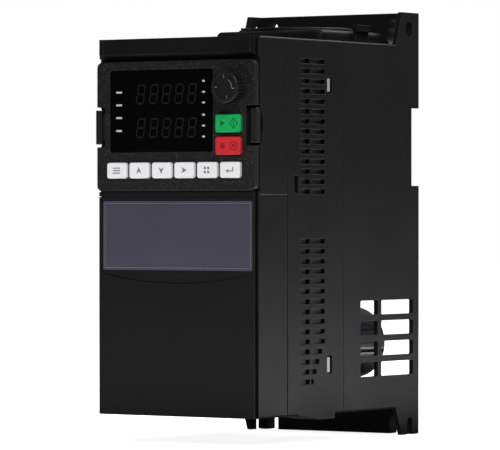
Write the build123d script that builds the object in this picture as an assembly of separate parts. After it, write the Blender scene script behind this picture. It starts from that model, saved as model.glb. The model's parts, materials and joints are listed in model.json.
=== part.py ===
from build123d import *
import math
import os

# A wall-mounted variable frequency drive. Millimetres. X runs across the front, Y from the front
# towards the wall, Z up. The wall is at Y = 0 and the casing's underside is at Z = 0.

# ---------------------------------------------------------------- driving dimensions
BODY_WIDTH = 92.4
BODY_HEIGHT = 180.0
DEPTH = 145.0
COVER_DEPTH = 26.3          # front face to the seam behind the front covers
CASE_DEPTH = 49.2           # the middle section between the two seams
WALL = 2.4
GAP = 0.3                   # between pieces that move apart
EDGE = 1.2                  # radius on the long outer edges
SEAM_DEPTH = 0.5
SEAM_WIDTH = 0.5

PLATE_INSET = 1.2           # the front plate stands in from the sides
PLATE_RISE = 1.9            # and proud of the side walls' front edge
GROOVE_WIDTH = 0.4          # between the plate and the side walls
GROOVE_DEPTH = 3.0          # behind the plate's face
COVER_SPLIT = 104.7         # height of the split between the two front covers

EAR_TOP = 196.2
EAR_BOTTOM = -13.3
FLANGE = 7.0                # depth of the mounting flanges
SCREW_X = 36.6              # wall screws, from the middle
SCREW_TOP = 190.5
SCREW_BOTTOM = -7.5
SCREW_SLOT_R = 3.3
SCREW_HEAD_R = 5.0

KEYPAD_WIDTH = 91.6
KEYPAD_LOW = 107.1
KEYPAD_HIGH = 169.0
KEYPAD_RISE = 1.0           # keypad face in front of the front plate
BAY_DEPTH = 3.0             # keypad bay floor behind the front plate
KEY_TRAVEL_ROOM = 0.9

KNOB_X = 33.5
KNOB_Z = 155.8
KNOB_R = 7.55
KNOB_HEIGHT = 7.3

WHITE_KEY = (11.4, 7.6)
WHITE_KEY_Z = 117.0
WHITE_KEY_FIRST_X = -33.0
WHITE_KEY_PITCH = 13.12
COLOUR_KEY = (14.4, 8.6)
COLOUR_KEY_X = 31.5
RUN_KEY_Z = 138.9
STOP_KEY_Z = 128.35

DISPLAY_X = -4.7
DISPLAY_WIDTH = 37.2
DISPLAY_HEIGHT = 14.0
UPPER_DISPLAY_Z = 153.4
LOWER_DISPLAY_Z = 137.3

CAPACITOR_R = 17.5
CAPACITOR_X = 20.6
CAPACITOR_Z = 32.4
CAPACITOR_LENGTH = 65.0

FAN_SIZE = 50.0
FAN_DEPTH = 15.0
FAN_Y = -37.6
FAN_BOTTOM = 169.2
FAN_BORE_R = 23.6
GUARD_R = 26.4              # outer radius of the raised ring round the fan guard

# ---------------------------------------------------------------- places worked out from them
HALF = BODY_WIDTH / 2
INNER = HALF - WALL
FRONT = -DEPTH
COVER_BACK = FRONT + COVER_DEPTH
CASE_BACK = COVER_BACK + CASE_DEPTH
PARTITION = 2.5
DUCT_FRONT = CASE_BACK + PARTITION      # the heat sink's base sits against the partition
PLATE_HALF = HALF - PLATE_INSET
WALL_FRONT = FRONT + PLATE_RISE
BAY_FLOOR = FRONT + BAY_DEPTH
KEYPAD_FACE = FRONT - KEYPAD_RISE
KEYPAD_BACK = BAY_FLOOR - GAP
KEYPAD_Z = (KEYPAD_LOW + KEYPAD_HIGH) / 2
SHELL_SKIN = 1.8
SHELL_INSIDE = KEYPAD_FACE + SHELL_SKIN
KEYPAD_BOARD = (-140.4, -138.8)
KEYPAD_INNER_HALF = 39.2                # half width of the hollow that holds the keys
KEYPAD_INNER = (112.4, 163.7)
BOX_HALF = 39.4                         # keypad back shell
BOX_Z = (111.6, 164.6)
BOX_BACK = -132.0
POCKET_HALF = 39.8                      # pocket in the bay floor that takes it
POCKET_Z = (111.2, 165.0)
POCKET_FLOOR = (-131.0, -129.2)
LATCH_Z = (129.7, 146.0)
NOTCH_Z = (128.3, 147.4)                # notches in the keypad's sides
NOTCH_HALF = 40.8
RECESS_Z = (128.3, 147.4)               # hollows behind the notches for the latch arms
RECESS_BACK = -127.5
SCOOP_DEPTH = 2.7                       # finger scoops in the cover's sides
LATCH_AXIS = (41.0, -130.4)
LATCH_BARREL_R = 1.15
LATCH_ARM_Z = (132, 144)
LATCH_PIN_R = 0.5
LATCH_LUG = 1.5                         # thickness of the lugs that hold a latch's pin
FOOT_ROOM = 0.6                         # lets the latch's foot swing without touching the cover
TONGUE_HALF = 44.8                      # tongue behind the split between the two front covers
TONGUE_Y = (-143.6, -142.2)
TONGUE_DROP = 1.1

POWER_BOARD = (-84.6, -83.0)
CONTROL_BOARD = (-117.4, -115.8)
TRAY = (-112.0, -110.4)
TRAY_POSTS = [(-36, 62), (36, 62), (-36, 163), (36, 163)]
STANDOFFS = [(-38, 58), (38, 58), (-38, 157), (38, 157)]
CASE_SCREWS = [(-38, 9), (38, 9), (-38, 171), (38, 171)]
SINK_SCREWS = [(-30, 66), (30, 66), (-30, 161), (30, 161)]
SINK_Z = (61.0, 166.0)
MODULE_SCREW_X = 29.0
MODULE_Z = 115.0
MAIN_TERMINALS = 9
MAIN_PITCH = 8.2
MAIN_SCREW_Z = 23.0
CONTROL_TERMINALS = 14
CONTROL_PITCH = 5.0
CONTROL_SCREW_Z = 52.0
DROP_OUTLINE = [(-109, 1.4), (-109, 0), (-91, -2.4), (-77.2, -2.4), (-77.2, 1.4)]


# ---------------------------------------------------------------- helpers
def block(x, y, z):
    """A box, from its (low, high) pair along each axis."""
    size = (x[1] - x[0], y[1] - y[0], z[1] - z[0])
    return Pos(sum(x) / 2, sum(y) / 2, sum(z) / 2) * Box(*size)


def across(half_width, y, z):
    """A box that is centred on the middle plane."""
    return block((-half_width, half_width), y, z)


def rod_y(radius, x, z, y):
    """A round bar along Y."""
    return Pos(x, sum(y) / 2, z) * Rot(90, 0, 0) * Cylinder(radius, y[1] - y[0])


def rod_z(radius, x, y, z):
    """A round bar along Z."""
    return Pos(x, y, sum(z) / 2) * Cylinder(radius, z[1] - z[0])


def facing(outline, y):
    """An outline drawn in X and Z, given thickness along Y."""
    return extrude(Plane((0, y[1], 0), x_dir=(1, 0, 0), z_dir=(0, -1, 0)) * outline, y[1] - y[0])


def panel(centre, size, radius, y):
    """A front-facing plate with rounded corners."""
    return facing(Pos(*centre) * RectangleRounded(*size, radius), y)


def profile(points, x):
    """An outline of (y, z) points, given thickness along X."""
    return extrude(Plane.YZ.offset(x[0]) * make_face(Polyline(*points, close=True)), x[1] - x[0])


def side_window(y, z, radius, x):
    """A cutter for a window with rounded corners in a side wall."""
    outline = Pos(sum(y) / 2, sum(z) / 2) * RectangleRounded(y[1] - y[0], z[1] - z[0], radius)
    return extrude(Plane.YZ.offset(x[0]) * outline, x[1] - x[0])


def both_sides(shape):
    """The shape and its mirror image across the middle plane."""
    return shape + mirror(shape, Plane.YZ)


def spread(count, pitch):
    """Evenly spaced places, centred on zero."""
    return [(i - (count - 1) / 2) * pitch for i in range(count)]


def group(shapes):
    """Separate solids that share a node."""
    return Compound(children=[solid for shape in shapes for solid in shape.solids()])


def casing_block(y, z):
    """A full-width block with its long outer edges rounded."""
    solid = across(HALF, y, z)
    return fillet(solid.edges().filter_by(Axis.Y), EDGE)


def seam(y, z):
    """A cutter for the shallow groove round the casing at a seam."""
    return across(HALF + 1, y, (z[0] - 1, z[1] + 1)) - across(
        HALF - SEAM_DEPTH, y, (z[0] + SEAM_DEPTH, z[1] - SEAM_DEPTH)
    )


# ---------------------------------------------------------------- rear housing and cooling
def mounting_ears():
    """Side gussets and the two flanges that the wall screws hold."""
    lap = BODY_HEIGHT - 1
    top = [(-21.1, lap), (-21.1, BODY_HEIGHT), (-15.7, EAR_TOP), (0, EAR_TOP), (0, lap)]
    bottom = [(-21.5, 1), (-21.5, 0), (-15.8, EAR_BOTTOM), (0, EAR_BOTTOM), (0, 1)]
    ears = both_sides(profile(top, (INNER, HALF)) + profile(bottom, (INNER, HALF)))
    flanges = across(HALF, (-FLANGE, 0), (174, EAR_TOP)) + across(HALF, (-FLANGE, 0), (EAR_BOTTOM, 6))
    return ears + flanges


def ear_openings():
    """Keyholes above, open slots below, the gussets' side holes and the hollows behind."""
    depth = (-FLANGE - 1, 1)
    keyhole = rod_y(SCREW_SLOT_R, SCREW_X, SCREW_TOP, depth)
    keyhole += rod_y(SCREW_HEAD_R, SCREW_X, BODY_HEIGHT + SCREW_HEAD_R, depth)
    slot_x = (SCREW_X - SCREW_SLOT_R, SCREW_X + SCREW_SLOT_R)
    keyhole += block(slot_x, depth, (BODY_HEIGHT + SCREW_HEAD_R, SCREW_TOP))
    slot = rod_y(SCREW_SLOT_R, SCREW_X, SCREW_BOTTOM, depth)
    slot += block(slot_x, depth, (EAR_BOTTOM - 1, SCREW_BOTTOM))
    side = (INNER - 0.1, HALF + 1)
    oval = side_window((-12.3, -5.9), (184, 192), 3.1, side)
    notch = side_window((-11.0, -5.8), (EAR_BOTTOM - 6, -4.9), 2.5, side)
    hollows = block((8, 28), (-FLANGE + 2.5, 1), (182.5, 193.5))
    hollows += block((8, 28), (-FLANGE + 2.5, 1), (-11, 3.5))
    return both_sides(keyhole + slot + oval + notch + hollows)


def rear_housing():
    shell = casing_block((CASE_BACK, 0), (0, BODY_HEIGHT))
    shell -= across(INNER, (DUCT_FRONT, 1), (WALL, BODY_HEIGHT - WALL))
    shell += mounting_ears()
    shell -= ear_openings()
    shell -= across(HALF + 1, (-6.8, 1), (110.2, 148.8))
    for low in (16.6, 26.7, 36.8, 46.8):
        for y in ((-54.1, -38.1), (-35.0, -5.3)):
            window = side_window(y, (low, low + 7.1), 0.9, (HALF - 4, HALF + 1))
            shell -= both_sides(window)
    # the module's opening, the capacitors' holes, the fan's opening and the air inlet slots
    shell -= across(32.5, (CASE_BACK - 1, DUCT_FRONT + 1), (75, 152))
    for x in (-CAPACITOR_X, CAPACITOR_X):
        shell -= rod_y(CAPACITOR_R + 0.7, x, CAPACITOR_Z, (CASE_BACK - 1, DUCT_FRONT + 1))
    shell -= across(30.0, (-64.2, -9.6), (BODY_HEIGHT - WALL - 1, BODY_HEIGHT + 1))
    for x in spread(9, 8.0):
        shell -= block((x - 2.2, x + 2.2), (-62, -14), (-1, WALL + 1))
    for x, z in CASE_SCREWS:
        shell -= rod_y(1.6, x, z, (CASE_BACK - 1, DUCT_FRONT + 1))
    for x, z in SINK_SCREWS:
        shell -= rod_y(1.6, x, z, (CASE_BACK - 1, DUCT_FRONT + 1))
    # the fan cover's two clips drop through these slots
    shell -= both_sides(block((31.8, 35.4), (-39.6, -25.9), (BODY_HEIGHT - WALL - 1, BODY_HEIGHT + 1)))
    shell -= seam((CASE_BACK - 1, CASE_BACK + SEAM_WIDTH), (0, BODY_HEIGHT))
    return shell


def heat_sink():
    fin, count, pitch = 1.6, 15, 5.5
    base_back = DUCT_FRONT + 7
    sink = across(40, (DUCT_FRONT, base_back), SINK_Z)
    for x in spread(count, pitch):
        sink += block((x - fin / 2, x + fin / 2), (base_back - 0.1, -9), SINK_Z)
    for x, z in SINK_SCREWS:
        sink -= rod_y(1.55, x, z, (DUCT_FRONT - 1, base_back + 2))
    for x in (-MODULE_SCREW_X, MODULE_SCREW_X):
        sink -= rod_y(2.05, x, MODULE_Z, (DUCT_FRONT - 1, base_back + 1))
    return sink


def fan_screw_places():
    return [(x, FAN_Y + y) for x in (-20, 20) for y in (-20, 20)]


def fan_cover():
    """Raised snap-on cover with the fan guard in its top."""
    rise, skin = 6.3, 1.6
    top = BODY_HEIGHT + rise
    cover = across(32, (-66, -8.3), (BODY_HEIGHT, top))
    cover = fillet(cover.edges().filter_by(Axis.Z).group_by(Axis.Y)[0], 3.5)
    cover = fillet(cover.edges().filter_by(Axis.Z).group_by(Axis.Y)[-1], 1.0)
    cover = fillet(cover.edges().filter_by(Axis.X).group_by(Axis.Z)[-1].sort_by(Axis.Y)[:1], 2.4)
    cover -= across(32 - skin, (-66 + skin, -8.3 - skin), (BODY_HEIGHT - 1, top - skin))
    cover -= rod_z(FAN_BORE_R, 0, FAN_Y, (top - skin - 1, top + 1))
    ring = rod_z(GUARD_R, 0, FAN_Y, (top - 0.1, top + 1.7))
    ring = fillet(ring.edges().group_by(Axis.Z)[-1], 0.8)
    cover += ring - rod_z(GUARD_R - 1.5, 0, FAN_Y, (top - 1, top + 3))
    wire = (top - skin, top)
    for radius in (19.2, 14.8, 10.4):
        cover += rod_z(radius, 0, FAN_Y, wire) - rod_z(radius - 1.5, 0, FAN_Y, (wire[0] - 1, wire[1] + 1))
    cover += rod_z(6.0, 0, FAN_Y, wire)
    for angle in (45, 135):
        spoke = Pos(0, FAN_Y, sum(wire) / 2) * Rot(0, 0, angle) * Box(2 * FAN_BORE_R + 1, 1.8, skin)
        cover += spoke
    clip_y = (-38.8, -26.7)
    clip = block((32, 33.4), clip_y, (176.5, 189.4)) + block((33.3, 34.6), clip_y, (186, 189.4))
    cover += both_sides(clip)
    for x, y in fan_screw_places():
        cover += rod_z(2.4, x, y, (FAN_BOTTOM + FAN_DEPTH, top + 0.8))
        cover -= rod_z(1.5, x, y, (FAN_BOTTOM, top - 0.4))
    return cover


def fan_frame():
    top = FAN_BOTTOM + FAN_DEPTH
    frame = Pos(0, FAN_Y, (FAN_BOTTOM + top) / 2) * Box(FAN_SIZE, FAN_SIZE, FAN_DEPTH)
    frame = fillet(frame.edges().filter_by(Axis.Z), 3.0)
    frame -= rod_z(FAN_BORE_R, 0, FAN_Y, (FAN_BOTTOM - 1, top + 1))
    frame += rod_z(10.5, 0, FAN_Y, (FAN_BOTTOM, FAN_BOTTOM + 1.8))
    frame += rod_z(4.0, 0, FAN_Y, (FAN_BOTTOM, FAN_BOTTOM + 7.0))
    for angle in (20, 110):
        strut = Pos(0, FAN_Y, FAN_BOTTOM + 0.9) * Rot(0, 0, angle) * Box(2 * FAN_BORE_R + 0.6, 3.0, 1.8)
        frame += strut
    frame -= rod_z(1.55, 0, FAN_Y, (FAN_BOTTOM + 1, FAN_BOTTOM + 8))
    for x, y in fan_screw_places():
        frame -= rod_z(1.8, x, y, (FAN_BOTTOM - 1, top + 1))
    return frame


def fan_rotor():
    hub_low, hub_high = FAN_BOTTOM + 2.6, FAN_BOTTOM + 13.6
    hub_r, blade_r, blades = 11.5, FAN_BORE_R - 0.6, 7
    rotor = rod_z(hub_r, 0, FAN_Y, (hub_low, hub_high))
    rotor = fillet(rotor.edges().group_by(Axis.Z)[-1], 1.0)
    rotor -= rod_z(hub_r - 1.2, 0, FAN_Y, (hub_low - 1, hub_high - 1.4))
    rotor += rod_z(1.5, 0, FAN_Y, (FAN_BOTTOM + 2.2, hub_high - 1))
    ring = rod_z(blade_r, 0, FAN_Y, (hub_low, hub_high - 0.6))
    ring -= rod_z(hub_r - 0.4, 0, FAN_Y, (hub_low - 1, hub_high))
    reach = (hub_r + blade_r) / 2
    for i in range(blades):
        blade = Pos(reach, 0, 0) * Rot(38, 0, 0) * Box(blade_r - hub_r + 4, 15.0, 1.1)
        blade = Pos(0, FAN_Y, (hub_low + hub_high) / 2) * Rot(0, 0, i * 360 / blades) * blade
        rotor += blade & ring
    return rotor


def fan_screws():
    """Four screws from below that hold the fan up in its cover."""
    head, tip = 1.6, BODY_HEIGHT + 5.0
    screws = []
    for x, y in fan_screw_places():
        screw = rod_z(2.8, x, y, (FAN_BOTTOM - head, FAN_BOTTOM))
        screws.append(screw + rod_z(1.45, x, y, (FAN_BOTTOM, tip)))
    return group(screws)


def bus_capacitor(x):
    """Snap-in electrolytic capacitor lying along Y, with its crimp groove and recessed end."""
    front = POWER_BOARD[1]
    back = front + CAPACITOR_LENGTH
    can = rod_y(CAPACITOR_R, x, CAPACITOR_Z, (front, back))
    can = fillet(can.edges().sort_by(Axis.Y)[-1:], 1.4)
    can -= rod_y(CAPACITOR_R - 3.2, x, CAPACITOR_Z, (back - 0.7, back + 1))
    groove = rod_y(CAPACITOR_R + 1, x, CAPACITOR_Z, (front + 3.5, front + 5.0))
    groove -= rod_y(CAPACITOR_R - 0.8, x, CAPACITOR_Z, (front + 3, front + 6))
    return can - groove


# ---------------------------------------------------------------- middle case
def louvre_cutters():
    """Two columns of gills in each side wall. Each slopes inward to a narrow opening at its rear."""
    height, pitch, notch, lip, depth = 2.4, 4.8, 1.3, 0.25, 1.3
    front_column, rear_column = (-107.6, -99.3), (-98.2, -86.1)
    rows = [(169.3 - pitch * i, 0) for i in range(14)]
    rows += [(83.1 - pitch * i, max(0, i - 10)) for i in range(15)]
    cutters = []
    for z, step in rows:
        rear = (rear_column[0], rear_column[1] - 2.4 * step)
        for start, end in (front_column, rear):
            points = [
                (HALF + 1, start),
                (HALF - lip, start),
                (HALF - depth, end - notch),
                (INNER - 1, end - notch),
                (INNER - 1, end),
                (HALF + 1, end),
            ]
            outline = make_face(Polyline(*points, close=True))
            cutter = extrude(Plane.XY.offset(z - height / 2) * outline, height)
            cutters += [cutter, mirror(cutter, Plane.YZ)]
    return cutters


def middle_case():
    case = casing_block((COVER_BACK, CASE_BACK), (0, BODY_HEIGHT))
    case -= across(INNER, (COVER_BACK - 1, CASE_BACK + 1), (WALL, BODY_HEIGHT - WALL))
    for x, z in CASE_SCREWS:
        case += rod_y(3.4, x, z, (CASE_BACK - 11, CASE_BACK))
        wall_z = (WALL - 0.2, z) if z < BODY_HEIGHT / 2 else (z, BODY_HEIGHT - WALL + 0.2)
        case += block((x - 1.2, x + 1.2), (CASE_BACK - 11, CASE_BACK), wall_z)
        case -= rod_y(1.55, x, z, (CASE_BACK - 12, CASE_BACK + 1))
    case -= louvre_cutters()
    for z in ((154.4, 162.5), (19.4, 28.0)):
        case -= side_window((-84.1, -79.6), z, 0.4, (-HALF - 1, HALF + 1))
    case -= side_window((-112.6, -109.3), (106.2, 114.5), 0.5, (-HALF - 1, HALF + 1))
    case -= across(36, (-108, -78), (-1, WALL + 1))
    case += both_sides(profile(DROP_OUTLINE, (INNER, HALF)))
    for x in spread(9, 8.0):
        case -= block((x - 1.5, x + 1.5), (-108, -82), (BODY_HEIGHT - WALL - 1, BODY_HEIGHT + 1))
    case -= seam((COVER_BACK - 1, COVER_BACK + SEAM_WIDTH), (0, BODY_HEIGHT))
    return case


def cable_plate():
    """Plate in the underside with three round cable holes, level with the side walls' lower edges."""
    drop = -2.4
    plate = profile([(-108.7, 0), (-91, drop), (-77.5, drop), (-77.5, 0)], (-43.5, 43.5))
    plate += across(35.9, (-107.9, -78.1), (-0.1, WALL))
    for x in (-23.5, 0, 23.5):
        plate -= rod_z(9.0, x, -93, (drop - 1, WALL + 1))
    return plate


# ---------------------------------------------------------------- front covers
def corner_groove(z):
    """The narrow groove between the front plate and each side wall."""
    return both_sides(block((PLATE_HALF, PLATE_HALF + GROOVE_WIDTH), (FRONT - 1, FRONT + GROOVE_DEPTH), z))


def scoop():
    """A cutter for the finger scoop behind a latch, with an arc for its rear edge."""
    low, high = NOTCH_Z
    edge = BAY_FLOOR
    front = Polyline((edge, low), (edge - 2, low), (edge - 2, high), (edge, high))
    rear = ThreePointArc((edge, high), (edge + SCOOP_DEPTH, (low + high) / 2), (edge, low))
    return extrude(Plane.YZ.offset(INNER - 0.1) * make_face(front + rear), WALL + 1)


def upper_front_cover():
    cover = casing_block((BAY_FLOOR, COVER_BACK), (COVER_SPLIT, BODY_HEIGHT))
    cover -= across(INNER, (BAY_FLOOR + WALL, COVER_BACK + 1), (COVER_SPLIT - 1, BODY_HEIGHT - WALL))
    # the bar above the keypad, sloping back to the bay floor, and the strip below it
    bar = [(FRONT, 172.5), (FRONT, BODY_HEIGHT), (BAY_FLOOR + 0.1, BODY_HEIGHT), (BAY_FLOOR + 0.1, 169.3)]
    cover += profile(bar, (-PLATE_HALF, PLATE_HALF))
    cover += across(HALF, (WALL_FRONT, BAY_FLOOR + 0.1), (170.7, BODY_HEIGHT))
    strip = (COVER_SPLIT, KEYPAD_LOW - GAP)
    cover += across(PLATE_HALF, (FRONT, BAY_FLOOR + 0.1), strip)
    cover += across(HALF, (WALL_FRONT, BAY_FLOOR + 0.1), strip)
    # the pocket for the back of the keypad, and the walled recesses for its two latches
    pocket_skin = 1.4
    pocket_z = (POCKET_Z[0] - pocket_skin, POCKET_Z[1] + pocket_skin)
    cover += across(POCKET_HALF + pocket_skin, (BAY_FLOOR + 0.5, POCKET_FLOOR[1]), pocket_z)
    recess_wall = 1.5
    walls_z = (RECESS_Z[0] - recess_wall, RECESS_Z[1] + recess_wall)
    recess_y = (BAY_FLOOR + 0.5, RECESS_BACK + recess_wall)
    cover += both_sides(block((POCKET_HALF, INNER + 0.1), recess_y, walls_z))
    cover -= across(POCKET_HALF, (BAY_FLOOR - 1, POCKET_FLOOR[0]), POCKET_Z)
    recess_x = (POCKET_HALF - FOOT_ROOM, INNER)
    cover -= both_sides(block(recess_x, (BAY_FLOOR - 1, RECESS_BACK), RECESS_Z))
    cover -= both_sides(scoop())
    cover -= across(7.0, (POCKET_FLOOR[0] - 1, POCKET_FLOOR[1] + 1), (133.5, 142.5))
    cover -= corner_groove((COVER_SPLIT - 1, BODY_HEIGHT + 1))
    cover -= both_sides(block((42.3, 42.7), (FRONT - 1, FRONT + 0.4), (172, BODY_HEIGHT + 1)))
    cover += across(TONGUE_HALF, TONGUE_Y, (COVER_SPLIT - TONGUE_DROP, COVER_SPLIT + 0.1))
    return cover


def recess_outline(top, end, middle):
    """The label recess, whose lower edge is a shallow arc."""
    half = PLATE_HALF - 1.1
    sides = Polyline((-half, end), (-half, top), (half, top), (half, end))
    outline = make_face(sides + ThreePointArc((half, end), (0, middle), (-half, end)))
    return fillet(outline.vertices().group_by(Axis.Y)[0], 2.0)


def lower_front_cover():
    top = COVER_SPLIT - GAP
    back = COVER_BACK - GAP
    cover = across(HALF, (WALL_FRONT, back), (0, top))
    cover = fillet(cover.edges().filter_by(Axis.Y).group_by(Axis.Z)[0], EDGE)
    cover -= across(HALF - 2.2, (WALL_FRONT + 2.4, back + 1), (2.2, top + 1))
    cover += across(PLATE_HALF, (FRONT, WALL_FRONT + 0.1), (0, top))
    cover -= facing(recess_outline(102.9, 67.5, 62.9), (FRONT - 1, FRONT + 0.8))
    cover -= corner_groove((-1, top + 1))
    cover -= across(34, (WALL_FRONT + 3.0, back + 1), (-1, 3))
    rebate_low = COVER_SPLIT - TONGUE_DROP - GAP
    cover -= across(TONGUE_HALF + GAP, (TONGUE_Y[0] - GAP, back + 1), (rebate_low, top + 1))
    return cover


def label_plate():
    back = FRONT + 0.8
    return panel((0.4, 85.95), (86.6, 33.1), 0.8, (back - 0.5, back))


# ---------------------------------------------------------------- keypad
def key_places():
    """Name, centre and size of each key on the keypad."""
    names = ["menu_key", "up_key", "down_key", "shift_key", "function_key", "enter_key"]
    places = []
    for i, name in enumerate(names):
        places.append((name, (WHITE_KEY_FIRST_X + WHITE_KEY_PITCH * i, WHITE_KEY_Z), WHITE_KEY))
    places.append(("run_key", (COLOUR_KEY_X, RUN_KEY_Z), COLOUR_KEY))
    places.append(("stop_key", (COLOUR_KEY_X, STOP_KEY_Z), COLOUR_KEY))
    return places


def key(centre, size):
    """A cap with a retaining lip above and below, and a short stem to its switch."""
    face = KEYPAD_FACE - 1.5
    cap = panel(centre, size, 1.3, (face, SHELL_INSIDE + 0.2))
    cap = fillet(cap.faces().sort_by(Axis.Y)[0].edges(), 0.5)
    lip = panel(centre, (size[0] - 0.4, size[1] + 1.2), 0.6, (SHELL_INSIDE + 0.2, SHELL_INSIDE + 1.0))
    switch_top = KEYPAD_BOARD[0] - 1.6
    stem = rod_y(1.2, *centre, (SHELL_INSIDE + 0.9, switch_top - KEY_TRAVEL_ROOM))
    return cap + lip + stem


def keypad_shell():
    size = (KEYPAD_WIDTH, KEYPAD_HIGH - KEYPAD_LOW)
    shell = panel((0, KEYPAD_Z), size, 2.8, (KEYPAD_FACE, KEYPAD_BACK))
    shell = fillet(shell.faces().sort_by(Axis.Y)[0].edges(), 0.7)
    shell -= across(KEYPAD_INNER_HALF, (SHELL_INSIDE, KEYPAD_BACK + 1), KEYPAD_INNER)
    shell -= both_sides(block((NOTCH_HALF, HALF + 1), (KEYPAD_FACE - 1, KEYPAD_BACK + 1), NOTCH_Z))
    through = (KEYPAD_FACE - 1, SHELL_INSIDE + 1)
    shell -= panel((-7.9, 145.3), (60.0, 39.4), 1.3, (KEYPAD_FACE - 1, KEYPAD_FACE + 1.0))
    shell -= panel((-7.9, 145.3), (57.2, 35.6), 0.8, through)
    for _, centre, (width, height) in key_places():
        shell -= panel(centre, (width + 0.5, height + 0.5), 1.4, through)
    shell -= rod_y(3.4, KNOB_X, KNOB_Z, through)
    return shell


def keypad_back():
    """Tray that closes the keypad from behind and carries its board."""
    skin = 1.4
    back = across(BOX_HALF, (KEYPAD_BACK, BOX_BACK), BOX_Z)
    back = fillet(back.edges().filter_by(Axis.Y), 1.0)
    back -= across(BOX_HALF - skin, (KEYPAD_BACK - 1, BOX_BACK - skin), (BOX_Z[0] + skin, BOX_Z[1] - skin))
    for x in (-34.5, 34.5):
        for z in (116.0, 160.2):
            back += rod_y(2.0, x, z, (KEYPAD_BOARD[1], BOX_BACK - skin + 0.1))
    back -= block((-5.9, 5.9), (BOX_BACK - skin - 1, BOX_BACK + 1), (134.6, 141.4))
    # each latch turns on a pin between two lugs
    low, high = LATCH_ARM_Z
    x, y = LATCH_AXIS
    lug_x = (BOX_HALF - 0.2, x + LATCH_BARREL_R)
    lug_y = (BOX_BACK - 2.4, y + LATCH_BARREL_R)
    holder = block(lug_x, lug_y, (low - GAP - LATCH_LUG, low - GAP))
    holder += block(lug_x, lug_y, (high + GAP, high + GAP + LATCH_LUG))
    holder += rod_z(LATCH_PIN_R, x, y, (low - GAP - 1, high + GAP + 1))
    return back + both_sides(holder)


def display_window():
    return panel((-7.9, 145.3), (59.6, 39.0), 1.1, (KEYPAD_FACE - 0.1, KEYPAD_FACE + 0.9))


def display_module(z):
    """Five-digit display, with its rows of pins left out."""
    x = (DISPLAY_X - DISPLAY_WIDTH / 2, DISPLAY_X + DISPLAY_WIDTH / 2)
    return block(x, (SHELL_INSIDE - 0.6, KEYPAD_BOARD[0]), (z - DISPLAY_HEIGHT / 2, z + DISPLAY_HEIGHT / 2))


def indicator_leds():
    leds = []
    columns = [(-32.4, (154.4, 148.3, 142.2, 136.0))]
    columns += [(16.9, (159.2, 154.0, 149.0, 143.2, 138.0, 132.9))]
    for x, heights in columns:
        for z in heights:
            leds.append(block((x - 1.1, x + 1.1), (SHELL_INSIDE, KEYPAD_BOARD[0]), (z - 0.6, z + 0.6)))
    return group(leds)


def keypad_board():
    return across(37.6, KEYPAD_BOARD, (113.2, 163.0))


def key_switches():
    switches = []
    for _, (x, z), _ in key_places():
        body = block((x - 3, x + 3), (KEYPAD_BOARD[0] - 1.2, KEYPAD_BOARD[0]), (z - 3, z + 3))
        switches.append(body + rod_y(1.6, x, z, (KEYPAD_BOARD[0] - 1.6, KEYPAD_BOARD[0] - 1.1)))
    return group(switches)


def potentiometer():
    front = SHELL_INSIDE + 0.3
    body = block((KNOB_X - 4, KNOB_X + 4), (front, KEYPAD_BOARD[0]), (KNOB_Z - 5.5, KNOB_Z + 5.5))
    return body - rod_y(3.05, KNOB_X, KNOB_Z, (front - 1, KEYPAD_BOARD[0] - 1.2))


def potentiometer_shaft():
    return rod_y(3.0, KNOB_X, KNOB_Z, (KEYPAD_FACE - 5.5, KEYPAD_BOARD[0] - 1.4))


def knob():
    ribs, rib_depth = 30, 0.45
    front = KEYPAD_FACE - GAP - KNOB_HEIGHT
    body = rod_y(KNOB_R, KNOB_X, KNOB_Z, (front, KEYPAD_FACE - GAP))
    body = fillet(body.edges().sort_by(Axis.Y)[:1], 0.6)
    body -= rod_y(KNOB_R - 1.5, KNOB_X, KNOB_Z, (front - 1, front + 0.8))
    body -= rod_y(3.03, KNOB_X, KNOB_Z, (KEYPAD_FACE - 5.6, KEYPAD_FACE))
    grooves = []
    for i in range(ribs):
        angle = 2 * math.pi * i / ribs
        x = KNOB_X + KNOB_R * math.cos(angle)
        z = KNOB_Z + KNOB_R * math.sin(angle)
        grooves.append(rod_y(rib_depth, x, z, (front + 1.2, KEYPAD_FACE - 1.0)))
    return body - grooves


def keypad_plug():
    return block((-5.7, 5.7), (KEYPAD_BOARD[1], -120.0), (134.8, 141.2))


def right_latch():
    """Squeeze latch: a ribbed thumb pad on an arm that bends at its rear foot."""
    z = LATCH_ARM_Z
    arm = block((41.9, 43.2), (-142.0, -129.2), z)
    foot = rod_z(LATCH_BARREL_R, *LATCH_AXIS, z)
    bridge = block((42.6, 43.3), (-144.0, -141.5), z)
    pad = block((43.1, 46.6), (KEYPAD_FACE + 0.2, -142.4), LATCH_Z)
    pad = fillet(pad.edges().group_by(Axis.Y)[0], 0.6)
    latch = arm + foot + bridge + pad
    latch -= rod_z(LATCH_PIN_R + 0.05, *LATCH_AXIS, (z[0] - 1, z[1] + 1))
    for y in (-144.9, -143.9, -142.9):
        latch -= block((46.35, 47), (y - 0.25, y + 0.25), (LATCH_Z[0] + 1.5, LATCH_Z[1] - 1.5))
    return latch


def left_latch():
    return mirror(right_latch(), Plane.YZ)


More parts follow.
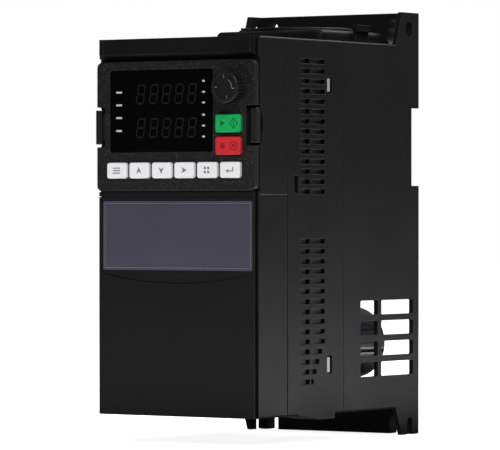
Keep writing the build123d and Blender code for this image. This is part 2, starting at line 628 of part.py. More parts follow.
# ---------------------------------------------------------------- electronics
def control_tray():
    """Grey carrier for the control board, with four snap tabs that show in the case's windows."""
    tray = across(INNER, TRAY, (42, 174))
    tray -= block((10, 36), (TRAY[0] - 1, TRAY[1] + 1), (70, 78))
    for x in spread(7, 9.0):
        tray -= block((x - 2.5, x + 2.5), (TRAY[0] - 1, TRAY[1] + 1), (92, 150))
    arm = (INNER - 1.5, INNER)
    for z in ((155.2, 161.7), (20.0, 27.2)):
        clip = block(arm, (TRAY[0], -79.9), z) + block((INNER - 0.1, HALF - 0.7), (-83.6, -80.6), z)
        tray += both_sides(clip)
    tray += both_sides(block(arm, TRAY, (20, 43)))
    for x, z in TRAY_POSTS:
        tray += rod_y(2.6, x, z, (CONTROL_BOARD[1], TRAY[0] + 0.1))
        tray -= rod_y(1.25, x, z, (CONTROL_BOARD[1] - 1, TRAY[1] + 1))
    return tray


def control_board():
    board = across(40, CONTROL_BOARD, (44, 168))
    for x, z in TRAY_POSTS:
        board -= rod_y(1.3, x, z, (CONTROL_BOARD[0] - 1, CONTROL_BOARD[1] + 1))
    return board


def control_chips():
    """Processor and three smaller packages."""
    front = CONTROL_BOARD[0]
    chips = [across(7, (front - 1.5, front), (95, 109))]
    for x, z in ((-26, 88), (-26, 104), (25, 96)):
        chips.append(block((x - 4, x + 4), (front - 1.3, front), (z - 3, z + 3)))
    return group(chips)


def board_screws(places, front, reach):
    """Small pan-head screws with their heads on a board's front."""
    screws = []
    for x, z in places:
        head = rod_y(2.4, x, z, (front - 1.6, front))
        screws.append(head + rod_y(1.2, x, z, (front, front + reach)))
    return group(screws)


def keypad_socket():
    front = POCKET_FLOOR[1] + 0.2
    socket = across(8, (front, CONTROL_BOARD[0]), (130, 146))
    return socket - across(6.05, (front - 1, -119.2), (134.45, 141.55))


def control_terminal_block():
    front = -129.0
    strip = across(36, (front, CONTROL_BOARD[0]), (47, 57))
    for x in spread(CONTROL_TERMINALS, CONTROL_PITCH):
        strip -= rod_y(1.7, x, CONTROL_SCREW_Z, (front - 1, front + 5))
        strip -= block((x - 1.5, x + 1.5), (front + 5.5, front + 8.5), (46, 51))
    return strip


def control_terminal_screws():
    places = [(x, CONTROL_SCREW_Z) for x in spread(CONTROL_TERMINALS, CONTROL_PITCH)]
    screws = []
    for x, z in places:
        head = rod_y(1.5, x, z, (-127.2, -124.0))
        screws.append(head - block((x - 1.6, x + 1.6), (-128, -126.6), (z - 0.3, z + 0.3)))
    return group(screws)


def power_board():
    board = across(42, POWER_BOARD, (14, 166))
    for x, z in STANDOFFS:
        board -= rod_y(1.3, x, z, (POWER_BOARD[0] - 1, POWER_BOARD[1] + 1))
    return board


def standoffs():
    """Brass spacers between the power board and the partition."""
    posts = []
    for x, z in STANDOFFS:
        post = Pos(x, (POWER_BOARD[1] + CASE_BACK) / 2, z) * Rot(90, 0, 0) * extrude(
            RegularPolygon(3.2, 6), (CASE_BACK - POWER_BOARD[1]) / 2, both=True
        )
        posts.append(post - rod_y(1.3, x, z, (POWER_BOARD[1] - 1, CASE_BACK - 2)))
    return group(posts)


def main_terminal_block():
    front = -108.0
    strip = across(38.5, (front, POWER_BOARD[0]), (15, 34))
    for x in spread(MAIN_TERMINALS, MAIN_PITCH):
        strip -= block((x - 3.4, x + 3.4), (front - 1, -97.5), (14, 31))
        strip -= rod_y(1.75, x, MAIN_SCREW_Z, (front - 1, -89))
    return strip


def main_terminal_screws():
    screws = []
    for x in spread(MAIN_TERMINALS, MAIN_PITCH):
        z = MAIN_SCREW_Z
        screw = rod_y(3.0, x, z, (-100.2, -98.4)) + rod_y(1.7, x, z, (-98.5, -90))
        washer = block((x - 3.2, x + 3.2), (-98.4, -97.5), (z - 3.2, z + 3.2))
        cross = block((x - 1.8, x + 1.8), (-101, -99.3), (z - 0.4, z + 0.4))
        cross += block((x - 0.4, x + 0.4), (-101, -99.3), (z - 1.8, z + 1.8))
        screws.append(screw + washer - cross)
    return group(screws)


def power_module():
    """Rectifier and inverter module, clamped between the board and the heat sink."""
    module = across(25, (POWER_BOARD[1], DUCT_FRONT), (93, 137))
    module += across(32, (DUCT_FRONT - 4, DUCT_FRONT), (MODULE_Z - 6, MODULE_Z + 6))
    for x in (-MODULE_SCREW_X, MODULE_SCREW_X):
        module -= rod_y(2.1, x, MODULE_Z, (DUCT_FRONT - 5, DUCT_FRONT + 1))
    return module


def module_screws():
    front = DUCT_FRONT - 4
    screws = []
    for x in (-MODULE_SCREW_X, MODULE_SCREW_X):
        head = rod_y(3.4, x, MODULE_Z, (front - 2.6, front))
        screws.append(head + rod_y(2.0, x, MODULE_Z, (front, front + 9)))
    return group(screws)


def sink_screws():
    screws = []
    for x, z in SINK_SCREWS:
        head = rod_y(2.8, x, z, (CASE_BACK - 2.2, CASE_BACK))
        screws.append(head + rod_y(1.5, x, z, (CASE_BACK, DUCT_FRONT + 6)))
    return group(screws)


def case_screws():
    """Long screws from inside the duct that hold the rear housing to the middle case."""
    screws = []
    for x, z in CASE_SCREWS:
        head = rod_y(2.8, x, z, (DUCT_FRONT, DUCT_FRONT + 2.2))
        screws.append(head + rod_y(1.5, x, z, (CASE_BACK - 9, DUCT_FRONT)))
    return group(screws)


def ribbon_connectors():
    sockets = [(POWER_BOARD[0] - 6, POWER_BOARD[0]), (CONTROL_BOARD[1], CONTROL_BOARD[1] + 5)]
    return group([block((12, 34), y, (71.5, 76.5)) for y in sockets])


def ribbon_cable():
    """Flat cable between the boards, with one slack fold."""
    start, end = CONTROL_BOARD[1] + 5, POWER_BOARD[0] - 6
    middle = (start + end) / 2
    fold, thick, height = 5.0, 0.9, 74.0
    low, high = height - thick / 2, height + thick / 2
    points = [
        (start, low),
        (middle - fold, low),
        (middle, low - fold),
        (middle + fold, low),
        (end, low),
        (end, high),
        (middle + fold - thick / 2, high),
        (middle, high - fold + thick / 2),
        (middle - fold + thick / 2, high),
        (start, high),
    ]
    return profile(points, (13, 33))


def inrush_relay():
    relay = block((-38, -18), (POWER_BOARD[0] - 15.5, POWER_BOARD[0]), (62, 78))
    return fillet(relay.edges().filter_by(Axis.Y), 0.8)


def supply_transformer():
    """Ferrite core with a wound bobbin."""
    back = POWER_BOARD[0]
    core = block((-36, -8), (back - 20, back), (118, 144))
    core -= block((-32, -26), (back - 21, back - 4), (117, 145))
    core -= block((-18, -12), (back - 21, back - 4), (117, 145))
    return core


def film_capacitors():
    back = POWER_BOARD[0]
    boxes = [block((x, x + 8.5), (back - 17, back), (92, 114)) for x in (-38, -27, 26)]
    return group([fillet(box.edges().filter_by(Axis.Y), 0.6) for box in boxes])


def current_sensors():
    back = POWER_BOARD[0]
    rings = []
    for x in (-6, 14):
        ring = block((x - 7, x + 7), (back - 16, back), (44, 58))
        rings.append(ring - rod_y(3.5, x, 51, (back - 17, back - 6)))
    return group(rings)


# ---------------------------------------------------------------- write every node
def all_parts():
    parts = {
        "rear_housing": rear_housing(),
        "heat_sink": heat_sink(),
        "sink_screws": sink_screws(),
        "middle_case": middle_case(),
        "case_screws": case_screws(),
        "cable_plate": cable_plate(),
        "upper_front_cover": upper_front_cover(),
        "lower_front_cover": lower_front_cover(),
        "label_plate": label_plate(),
        "fan_cover": fan_cover(),
        "fan_frame": fan_frame(),
        "fan_rotor": fan_rotor(),
        "fan_screws": fan_screws(),
        "left_capacitor": bus_capacitor(-CAPACITOR_X),
        "right_capacitor": bus_capacitor(CAPACITOR_X),
        "keypad_shell": keypad_shell(),
        "keypad_back": keypad_back(),
        "display_window": display_window(),
        "upper_display": display_module(UPPER_DISPLAY_Z),
        "lower_display": display_module(LOWER_DISPLAY_Z),
        "indicator_leds": indicator_leds(),
        "keypad_board": keypad_board(),
        "key_switches": key_switches(),
        "potentiometer": potentiometer(),
        "potentiometer_shaft": potentiometer_shaft(),
        "knob": knob(),
        "keypad_plug": keypad_plug(),
        "left_latch": left_latch(),
        "right_latch": right_latch(),
        "control_tray": control_tray(),
        "control_board": control_board(),
        "control_board_screws": board_screws(TRAY_POSTS, CONTROL_BOARD[0], 5),
        "control_chips": control_chips(),
        "keypad_socket": keypad_socket(),
        "control_terminal_block": control_terminal_block(),
        "control_terminal_screws": control_terminal_screws(),
        "power_board": power_board(),
        "power_board_screws": board_screws(STANDOFFS, POWER_BOARD[0], 9),
        "standoffs": standoffs(),
        "main_terminal_block": main_terminal_block(),
        "main_terminal_screws": main_terminal_screws(),
        "power_module": power_module(),
        "module_screws": module_screws(),
        "ribbon_connectors": ribbon_connectors(),
        "ribbon_cable": ribbon_cable(),
        "inrush_relay": inrush_relay(),
        "supply_transformer": supply_transformer(),
        "film_capacitors": film_capacitors(),
        "current_sensors": current_sensors(),
    }
    for name, centre, size in key_places():
        parts[name] = key(centre, size)
    return parts


def main():
    os.makedirs("parts", exist_ok=True)
    for name, shape in all_parts().items():
        export_step(shape, f"parts/{name}.step")


main()
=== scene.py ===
"""Looks for a wall-mounted motor drive. Metres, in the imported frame: +X right, +Y to the wall, +Z up."""

import json
import math

import bmesh
import bpy
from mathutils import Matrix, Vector


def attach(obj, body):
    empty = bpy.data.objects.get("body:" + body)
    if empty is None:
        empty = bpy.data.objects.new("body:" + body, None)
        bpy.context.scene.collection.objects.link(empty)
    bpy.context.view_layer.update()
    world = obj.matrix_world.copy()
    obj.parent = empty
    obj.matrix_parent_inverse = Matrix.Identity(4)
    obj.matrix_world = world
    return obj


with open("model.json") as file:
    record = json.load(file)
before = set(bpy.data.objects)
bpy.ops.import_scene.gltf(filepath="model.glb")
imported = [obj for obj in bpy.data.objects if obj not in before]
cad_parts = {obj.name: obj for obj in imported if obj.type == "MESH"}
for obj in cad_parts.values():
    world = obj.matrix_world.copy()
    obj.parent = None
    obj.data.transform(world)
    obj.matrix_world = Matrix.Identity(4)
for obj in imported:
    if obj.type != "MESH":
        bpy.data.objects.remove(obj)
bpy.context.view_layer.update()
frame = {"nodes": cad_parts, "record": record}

# ---------------------------------------------------------------- places on the object, in millimetres
MM = 0.001
WINDOW_FACE = -146.1        # y of the keypad's gloss window
KEY_FACE = -147.5           # y of the keys' tops
KNOB_FLOOR = -152.8         # y of the dished end of the knob
LABEL_FACE = -144.7         # y of the label plate
PRINT_DEPTH = 0.05          # how far printed marks stand proud of a face, and sink into it

DIGITS_X = (-19.6, -12.0, -4.7, 2.7, 10.1)
DIGITS_Z = (153.4, 137.3)
DIGIT_SIZE = (4.9, 9.6)
DIGIT_STROKE = 0.85
DIGIT_SLANT = 0.14
DIGIT_GAP = 0.15

LEFT_MARKS_X, LEFT_MARKS_Z = -32.4, (154.4, 148.3, 142.2, 136.0)
RIGHT_MARKS_X, RIGHT_MARKS_Z = 16.8, (159.2, 154.0, 149.0, 143.2, 138.0, 132.9)
LEFT_MARK_WIDTH, RIGHT_MARK_WIDTH, MARK_HEIGHT = 3.6, 1.7, 0.9

WHITE_KEY_Z = 117.0
KEY_PITCH = 13.12
WHITE_KEYS_X = [-33.0 + KEY_PITCH * i for i in range(6)]
RUN_KEY = (31.5, 138.9)
STOP_KEY = (31.5, 128.35)
RIM_ICON_X = 3.4            # the outlined icons' distance to the right of the run and stop keys' middles
ICON_LINE = 0.4

KNOB_CENTRE = (33.5, 155.8)
DIAL_TICKS = ((11.75, 4.2), (9, 4.6), (3.25, 4.0), (5.6, 4.2))      # clock position, inner radius
DIAL_RADIUS = 6.0
DIAL_ARC_RADIUS = 3.8
DIAL_ARC = (-8, 62)         # degrees anticlockwise from +X

LABEL_X = (-41.7, 42.5)
LABEL_Z = (70.6, 101.3)
LABEL_LINE = 0.25
CAP_STEPS = 6               # facets in the round end of a bar


# ---------------------------------------------------------------- materials
EDGE_RADIUS = 0.4 * MM
RELIEF_HEIGHT = 0.2 * MM
COAT_ROUGHNESS = 0.05
NOISE_DETAIL = 3.0
SLOW_NOISE = 30.0           # scale of the slow changes in tone and roughness
SLOW_RANGE = (0.3, 0.7)     # the slow noise's values that give the smoothest and roughest places
ROUGH_SPREAD = 0.05
SPECKLE_NOISE = (0.56, 0.68)
EDGE_HIGHLIGHT_DOT = (0.99, 0.8)      # how far the softened normal turns where the painted edge highlight starts, and where it is full


def node(tree, kind, **values):
    made = tree.nodes.new("ShaderNode" + kind)
    for key, value in values.items():
        if hasattr(made, key):
            setattr(made, key, value)
        else:
            made.inputs[key.replace("_", " ")].default_value = value
    return made


def tint(colour, factor):
    return tuple(min(1.0, c * factor) for c in colour) + (1.0,)


def noise(tree, coordinates, scale):
    made = node(tree, "TexNoise", Scale=scale, Detail=NOISE_DETAIL)
    tree.links.new(coordinates, made.inputs["Vector"])
    return made.outputs["Fac"]


def blend_colours(tree, factor, low, high):
    """Mixes two colours, each a value or another node's output, by the Mix node's colour sockets."""
    mix = tree.nodes.new("ShaderNodeMix")
    mix.data_type = "RGBA"
    tree.links.new(factor, mix.inputs["Factor"])
    for socket, value in ((mix.inputs[6], low), (mix.inputs[7], high)):
        if isinstance(value, bpy.types.NodeSocket):
            tree.links.new(value, socket)
        else:
            socket.default_value = value
    return mix.outputs[2]


def remap(tree, value, low, high, to_low, to_high):
    made = node(tree, "MapRange")
    made.clamp = True
    for i, number in enumerate((low, high, to_low, to_high), 1):
        made.inputs[i].default_value = number
    tree.links.new(value, made.inputs[0])
    return made.outputs[0]


def surface(
    name,
    colour,
    rough,
    grain=0.0005,
    bump=0.1,
    mottle=0.15,
    speckle=0.0,
    edge_highlight=0.0,
    metal=0.0,
    specular=0.3,
    coat=0.0,
    stretch=(1, 1, 1),
):
    """A procedural finish: moulded grain, slow variation in tone, light speckles, and edges painted
    lighter as a highlight.
    """
    material = bpy.data.materials.new(name)
    material.use_nodes = True
    tree = material.node_tree
    shader = tree.nodes["Principled BSDF"]
    shader.inputs["Metallic"].default_value = metal
    shader.inputs["Specular IOR Level"].default_value = specular
    shader.inputs["Coat Weight"].default_value = coat
    shader.inputs["Coat Roughness"].default_value = COAT_ROUGHNESS
    coordinates = node(tree, "TexCoord")
    mapping = node(tree, "Mapping")
    mapping.inputs["Scale"].default_value = stretch
    tree.links.new(coordinates.outputs["Object"], mapping.inputs["Vector"])
    where = mapping.outputs["Vector"]
    fine = noise(tree, where, 1 / grain)
    slow = noise(tree, where, SLOW_NOISE)
    tone = blend_colours(tree, slow, tint(colour, 1 - mottle), tint(colour, 1 + mottle))
    if speckle:
        dots = remap(tree, fine, *SPECKLE_NOISE, 0.0, 1.0)
        tone = blend_colours(tree, dots, tone, tint(colour, 1 + speckle))
    soft_edge = node(tree, "Bevel", samples=4)
    soft_edge.inputs["Radius"].default_value = EDGE_RADIUS
    # edges are painted lighter where the softened normal turns away, a painted highlight and not wear
    if edge_highlight:
        geometry = node(tree, "NewGeometry")
        dot = node(tree, "VectorMath", operation="DOT_PRODUCT")
        tree.links.new(soft_edge.outputs[0], dot.inputs[0])
        tree.links.new(geometry.outputs["Normal"], dot.inputs[1])
        edge_highlight_mask = remap(tree, dot.outputs["Value"], *EDGE_HIGHLIGHT_DOT, 0.0, 1.0)
        tone = blend_colours(tree, edge_highlight_mask, tone, tint(colour, 1 + edge_highlight))
    tree.links.new(tone, shader.inputs["Base Color"])
    gloss = remap(tree, slow, *SLOW_RANGE, rough - ROUGH_SPREAD, rough + ROUGH_SPREAD)
    tree.links.new(gloss, shader.inputs["Roughness"])
    relief = node(tree, "Bump", Strength=bump, Distance=RELIEF_HEIGHT)
    tree.links.new(fine, relief.inputs["Height"])
    tree.links.new(soft_edge.outputs[0], relief.inputs["Normal"])
    tree.links.new(relief.outputs[0], shader.inputs["Normal"])
    return material


def grey(level):
    return (level,) * 3


# one finish for each of the record's material slots
# the edge values paint the edges lighter, a painted highlight
LOOKS = {
    "housing_black": dict(
        colour=grey(0.0055),
        rough=0.5,
        grain=0.0007,
        bump=0.22,
        mottle=0.12,
        speckle=0.25,
        edge_highlight=5.0,
        specular=0.15,
    ),
    "keypad_black": dict(
        colour=grey(0.010),
        rough=0.5,
        grain=0.0008,
        bump=0.6,
        mottle=0.12,
        speckle=3.0,
        edge_highlight=4.0,
        specular=0.2,
    ),
    "latch_black": dict(colour=grey(0.008), rough=0.4, grain=0.0006, bump=0.12, mottle=0.1, edge_highlight=4.0),
    "window_gloss": dict(
        colour=(0.0015, 0.0015, 0.0017), rough=0.1, grain=0.004, bump=0.01, mottle=0.1, specular=0.05
    ),
    "label_violet_grey": dict(
        colour=(0.057, 0.052, 0.078), rough=0.45, grain=0.0006, bump=0.05, mottle=0.08, specular=0.2
    ),
    "key_white": dict(colour=(0.86, 0.86, 0.87), rough=0.5, grain=0.0008, bump=0.06, mottle=0.02),
    "key_green": dict(colour=(0.004, 0.4, 0.1), rough=0.45, grain=0.0008, bump=0.06, mottle=0.05),
    "key_red": dict(colour=(0.6, 0.022, 0.028), rough=0.45, grain=0.0008, bump=0.06, mottle=0.05),
    "tab_grey": dict(colour=(0.3, 0.3, 0.31), rough=0.5, grain=0.0006, bump=0.15, mottle=0.1),
    "sink_aluminium": dict(
        colour=(0.7, 0.71, 0.73),
        rough=0.35,
        grain=0.0008,
        bump=0.3,
        mottle=0.1,
        metal=1.0,
        stretch=(1, 1, 0.05),
    ),
    "screw_steel": dict(colour=(0.55, 0.55, 0.56), rough=0.3, grain=0.0004, metal=1.0),
    "brass": dict(colour=(0.72, 0.55, 0.24), rough=0.3, grain=0.0004, mottle=0.1, metal=1.0),
    "board_green": dict(
        colour=(0.012, 0.12, 0.045), rough=0.35, grain=0.0012, bump=0.15, mottle=0.3, coat=0.4
    ),
    "chip_black": dict(colour=grey(0.02), rough=0.6, grain=0.0003, bump=0.3, mottle=0.1),
    "display_dark": dict(colour=(0.02, 0.02, 0.022), rough=0.3, grain=0.001, bump=0.05, mottle=0.1),
    "led_body": dict(colour=(0.5, 0.5, 0.46), rough=0.2, grain=0.001, bump=0.05, mottle=0.1, coat=0.5),
    "connector_dark": dict(colour=(0.03, 0.03, 0.032), rough=0.5, bump=0.2, mottle=0.1),
    "terminal_green": dict(colour=(0.03, 0.2, 0.08), rough=0.5, bump=0.2, mottle=0.1),
    "sleeve_black": dict(
        colour=(0.018, 0.018, 0.022), rough=0.25, grain=0.002, bump=0.08, mottle=0.2, coat=0.3
    ),
    "module_body": dict(colour=(0.06, 0.06, 0.065), rough=0.55, grain=0.0004, bump=0.25, mottle=0.1),
    "ribbon_grey": dict(
        colour=(0.4, 0.4, 0.42), rough=0.5, grain=0.0012, bump=0.4, mottle=0.1, stretch=(1, 0.05, 0.05)
    ),
    "relay_blue": dict(colour=(0.03, 0.09, 0.25), rough=0.35, grain=0.0006, mottle=0.1),
    "ferrite": dict(colour=(0.05, 0.05, 0.055), rough=0.65, grain=0.0004, bump=0.5, mottle=0.2),
    "film_red": dict(colour=(0.35, 0.05, 0.03), rough=0.35, grain=0.0006, mottle=0.1),
    "fan_black": dict(colour=grey(0.016), rough=0.5, bump=0.2, mottle=0.1),
}
FINISHES = {name: surface(name, **look) for name, look in LOOKS.items()}

# the inks of the printed marks
PRINT_GRAIN = 0.0004
PRINT_WHITE = surface("print_white", grey(0.62), 0.5, PRINT_GRAIN, mottle=0.1)
PRINT_GREY = surface("print_grey", (0.2, 0.2, 0.21), 0.5, PRINT_GRAIN)
PRINT_FAINT = surface("print_faint", (0.0032, 0.0032, 0.0035), 0.4, PRINT_GRAIN)
PRINT_GREEN = surface("print_green", (0.002, 0.13, 0.04), 0.45, PRINT_GRAIN, mottle=0.1)
PRINT_RED = surface("print_red", (0.3, 0.008, 0.01), 0.45, PRINT_GRAIN, mottle=0.1)
PRINT_LABEL = surface("print_label", (0.2, 0.195, 0.22), 0.45, PRINT_GRAIN, mottle=0.1)

node_slots = {p["node"]: p["material_slot"] for p in frame["record"]["subparts"]}
for name, shown in frame["nodes"].items():
    finish = FINISHES[node_slots[name]]
    if not shown.material_slots:
        shown.data.materials.append(finish)
    for slot in shown.material_slots:
        slot.material = finish


# ---------------------------------------------------------------- shapes of printed marks
def printed(name, outlines, face, material, body):
    """Thin marks on a face at y = face, each an outline of (x, z) points, that ride on a body."""
    mesh = bpy.data.meshes.new(name)
    work = bmesh.new()
    for outline in outlines:
        front = [work.verts.new((x * MM, (face - PRINT_DEPTH) * MM, z * MM)) for x, z in outline]
        back = [work.verts.new((x * MM, (face + PRINT_DEPTH) * MM, z * MM)) for x, z in outline]
        work.faces.new(front)
        work.faces.new(back[::-1])
        for i in range(len(outline)):
            j = (i + 1) % len(outline)
            work.faces.new((front[i], back[i], back[j], front[j]))
    bmesh.ops.recalc_face_normals(work, faces=work.faces)
    work.to_mesh(mesh)
    work.free()
    piece = bpy.data.objects.new(name, mesh)
    bpy.context.scene.collection.objects.link(piece)
    piece.data.materials.append(material)
    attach(piece, body)


def rectangle(x, z, width, height):
    a, b = width / 2, height / 2
    return [(x - a, z - b), (x + a, z - b), (x + a, z + b), (x - a, z + b)]


def capsule(x, z, width, height):
    """A bar with round ends."""
    r, a, points = height / 2, (width - height) / 2, []
    for centre, start in ((x + a, -90), (x - a, 90)):
        for i in range(CAP_STEPS + 1):
            angle = math.radians(start + 180 * i / CAP_STEPS)
            points.append((centre + r * math.cos(angle), z + r * math.sin(angle)))
    return points


def stroke(start, end, width):
    """A straight bar between two points."""
    dx, dz = end[0] - start[0], end[1] - start[1]
    length = math.hypot(dx, dz)
    nx, nz = -dz / length * width / 2, dx / length * width / 2
    return [
        (start[0] - nx, start[1] - nz),
        (end[0] - nx, end[1] - nz),
        (end[0] + nx, end[1] + nz),
        (start[0] + nx, start[1] + nz),
    ]


def arc_bars(centre, radius, first, last, width, steps):
    """Short quads that follow an arc, in degrees anticlockwise from +X."""
    bars = []
    for i in range(steps):
        a = math.radians(first + (last - first) * i / steps)
        b = math.radians(first + (last - first) * (i + 1) / steps)
        inner, outer = radius - width / 2, radius + width / 2
        bars.append(
            [
                (centre[0] + r * math.cos(t), centre[1] + r * math.sin(t))
                for r, t in ((inner, a), (outer, a), (outer, b), (inner, b))
            ]
        )
    return bars


def segment_digit(x, z):
    """The seven bars of one digit, all alike, leaning to the right."""
    half_w, half_h = (DIGIT_SIZE[0] - DIGIT_STROKE) / 2, (DIGIT_SIZE[1] - DIGIT_STROKE) / 2
    t = DIGIT_STROKE / 2
    bars = []
    for level in (-half_h, 0, half_h):
        a, b = -half_w + DIGIT_GAP, half_w - DIGIT_GAP
        outline = [(a, level), (a + t, level - t), (b - t, level - t)]
        bars.append(outline + [(b, level), (b - t, level + t), (a + t, level + t)])
    for side in (-half_w, half_w):
        for low, high in ((-half_h + DIGIT_GAP, -DIGIT_GAP), (DIGIT_GAP, half_h - DIGIT_GAP)):
            outline = [(side, low), (side + t, low + t), (side + t, high - t)]
            bars.append(outline + [(side, high), (side - t, high - t), (side - t, low + t)])
    return [[(x + px + DIGIT_SLANT * pz, z + pz) for px, pz in bar] for bar in bars]


def arrow(x, z, turn):
    """A notched arrowhead."""
    points = [(-1.5, -1.5), (0, 1.7), (1.5, -1.5), (0, -0.5)]
    c, s = math.cos(turn), math.sin(turn)
    return [(x + px * c - pz * s, z + px * s + pz * c) for px, pz in points]


# ---------------------------------------------------------------- the marks themselves, with no words
def display_marks():
    """Unlit digits, and the marks beside the indicator lights."""
    digits = [bar for z in DIGITS_Z for x in DIGITS_X for bar in segment_digit(x, z)]
    printed("display_digits", digits, WINDOW_FACE, PRINT_FAINT, "keypad")
    marks = [capsule(LEFT_MARKS_X, z, LEFT_MARK_WIDTH, MARK_HEIGHT) for z in LEFT_MARKS_Z]
    marks += [capsule(RIGHT_MARKS_X, z, RIGHT_MARK_WIDTH, MARK_HEIGHT) for z in RIGHT_MARKS_Z]
    printed("indicator_marks", marks, WINDOW_FACE, PRINT_WHITE, "keypad")


def icon(key, shapes, material=PRINT_GREY):
    printed(f"icon_{key}", shapes, KEY_FACE, material, key)


def white_key_icons():
    """Left to right: bars, three arrowheads, four dots and a bent arrow."""
    menu, up, down, shift, function, enter = WHITE_KEYS_X
    z = WHITE_KEY_Z
    icon("menu_key", [capsule(menu, z + step, 4.4, 0.5) for step in (-1.2, 0, 1.2)])
    icon("up_key", [arrow(up, z, 0)])
    icon("down_key", [arrow(down, z, math.pi)])
    icon("shift_key", [arrow(shift, z, -math.pi / 2)])
    dots = [(-1, -1), (1, -1), (-1, 1), (1, 1)]
    icon("function_key", [rectangle(function + a * 0.95, z + b * 0.95, 1.2, 1.2) for a, b in dots])
    bent = [stroke((enter + 1.8, z + 1.5), (enter + 1.8, z - 0.65), 0.45)]
    bent.append(stroke((enter + 2.0, z - 0.5), (enter - 1.0, z - 0.5), 0.45))
    bent.append([(enter - 2.2, z - 0.5), (enter - 0.9, z - 1.4), (enter - 0.9, z + 0.4)])
    icon("enter_key", bent)


def run_key_icon():
    """A triangle, and a bar in a diamond."""
    x, z = RUN_KEY
    corners = [(RIM_ICON_X, 2.4), (5.6, 0), (RIM_ICON_X, -2.4), (1.2, 0)]
    shapes = []
    for i, (a, b) in enumerate(corners):
        c, d = corners[(i + 1) % 4]
        shapes.append(stroke((x + a, z + b), (x + c, z + d), ICON_LINE))
    shapes.append(rectangle(x + RIM_ICON_X, z, 0.45, 2.2))
    shapes.append([(x - 4.2, z - 1.5), (x - 1.6, z), (x - 4.2, z + 1.5)])
    icon("run_key", shapes, PRINT_GREEN)


def stop_key_icon():
    """A square, and a smaller one in a ring."""
    x, z = STOP_KEY
    shapes = arc_bars((x + RIM_ICON_X, z), 1.9, 0, 360, ICON_LINE, 24)
    shapes.append(rectangle(x + RIM_ICON_X, z, 1.4, 1.4))
    shapes.append(rectangle(x - 3.0, z, 2.4, 2.4))
    icon("stop_key", shapes, PRINT_RED)


def knob_marks():
    """Ticks and a short arc on the knob's end."""
    dial = []
    for clock, inner in DIAL_TICKS:
        angle = math.radians(90 - 30 * clock)
        ends = [
            (KNOB_CENTRE[0] + r * math.cos(angle), KNOB_CENTRE[1] + r * math.sin(angle))
            for r in (inner, DIAL_RADIUS)
        ]
        dial.append(stroke(ends[0], ends[1], ICON_LINE))
    dial += arc_bars(KNOB_CENTRE, DIAL_ARC_RADIUS, *DIAL_ARC, 0.35, 10)
    printed("knob_dial_marks", dial, KNOB_FLOOR, PRINT_GREY, "knob")


def label_border():
    """A plain line round the label."""
    left, right = LABEL_X
    low, high = LABEL_Z
    border = [
        stroke((left, low), (right, low), LABEL_LINE),
        stroke((left, high), (right, high), LABEL_LINE),
        stroke((left, low), (left, high), LABEL_LINE),
        stroke((right, low), (right, high), LABEL_LINE),
    ]
    printed("label_border", border, LABEL_FACE, PRINT_LABEL, "lower_cover")


display_marks()
white_key_icons()
run_key_icon()
stop_key_icon()
knob_marks()
label_border()

# ---------------------------------------------------------------- stage, lights and camera
FLOOR_Z = -13.5 * MM
FLOOR_SIZE = 6.0
FLOOR_GLOW = 0.9
ROOM_LIGHT = 0.14
MIDDLE = (0, -0.08, 0.09)
BOUNCE_Z = -0.012           # bounce lights lie just above the floor and face up
EYE = (1.0943, -1.7048, 0.0975)
LOOK = (-0.559, 0.829, -0.0034)
LENS = 288.7
SENSOR_WIDTH = 36
WHITE = (1, 1, 1, 1)


def floor():
    """A white floor that glows, and that the object doesn't reflect."""
    mesh = bpy.data.meshes.new("floor")
    work = bmesh.new()
    bmesh.ops.create_grid(work, x_segments=8, y_segments=8, size=FLOOR_SIZE)
    work.to_mesh(mesh)
    work.free()
    piece = bpy.data.objects.new("floor", mesh)
    piece.location.z = FLOOR_Z
    bpy.context.scene.collection.objects.link(piece)
    material = surface("floor_white", grey(0.9), rough=0.8, grain=0.01, bump=0.02, mottle=0.02)
    shader = material.node_tree.nodes["Principled BSDF"]
    shader.inputs["Emission Color"].default_value = WHITE
    shader.inputs["Emission Strength"].default_value = FLOOR_GLOW
    mesh.materials.append(material)
    piece.visible_diffuse = False
    piece.visible_glossy = False


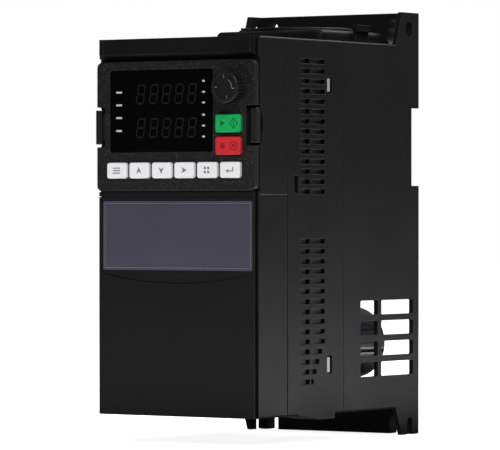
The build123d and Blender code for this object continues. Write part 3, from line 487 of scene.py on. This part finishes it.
def softbox(name, at, towards, size, power):
    light = bpy.data.lights.new(name, "AREA")
    light.shape = "RECTANGLE"
    light.size, light.size_y = size
    light.energy = power
    lamp = bpy.data.objects.new(name, light)
    bpy.context.scene.collection.objects.link(lamp)
    lamp.location = at
    lamp.rotation_mode = "QUATERNION"
    lamp.rotation_quaternion = (Vector(towards) - Vector(at)).to_track_quat("-Z", "Y")
    lamp.visible_camera = False


def bounce(name, x, y, size, power):
    """Light that comes up off the floor."""
    softbox(name, (x, y, BOUNCE_Z), (x, y, 1.0), size, power)


def room():
    """A white backdrop for the camera, and a dim even room for everything else."""
    world = bpy.data.worlds.new("studio")
    world.use_nodes = True
    tree = world.node_tree
    dim = tree.nodes["Background"]
    dim.inputs["Color"].default_value = WHITE
    dim.inputs["Strength"].default_value = ROOM_LIGHT
    white = tree.nodes.new("ShaderNodeBackground")
    white.inputs["Color"].default_value = WHITE
    path = tree.nodes.new("ShaderNodeLightPath")
    mix = tree.nodes.new("ShaderNodeMixShader")
    tree.links.new(path.outputs["Is Camera Ray"], mix.inputs[0])
    tree.links.new(dim.outputs[0], mix.inputs[1])
    tree.links.new(white.outputs[0], mix.inputs[2])
    tree.links.new(mix.outputs[0], tree.nodes["World Output"].inputs["Surface"])
    bpy.context.scene.world = world


floor()
room()
softbox("key", (1.3, -1.8, 1.7), MIDDLE, (1.0, 1.0), 44)
softbox("top", (0.3, 0.8, 1.4), MIDDLE, (1.0, 0.8), 26)
bounce("front_bounce", 0.1, -0.85, (1.2, 0.8), 1.4)
bounce("side_bounce", 0.16, 0.04, (0.14, 0.3), 0.8)
bounce("low_bounce", -0.03, -0.26, (0.3, 0.12), 0.32)

camera = bpy.data.cameras.new("camera")
camera.lens = LENS
camera.sensor_width = SENSOR_WIDTH
camera.clip_end = 50
eye = bpy.data.objects.new("camera", camera)
bpy.context.scene.collection.objects.link(eye)
eye.location = EYE
eye.rotation_mode = "QUATERNION"
eye.rotation_quaternion = Vector(LOOK).to_track_quat("-Z", "Y")
bpy.context.scene.camera = eye
bpy.context.scene.view_settings.view_transform = "Standard"
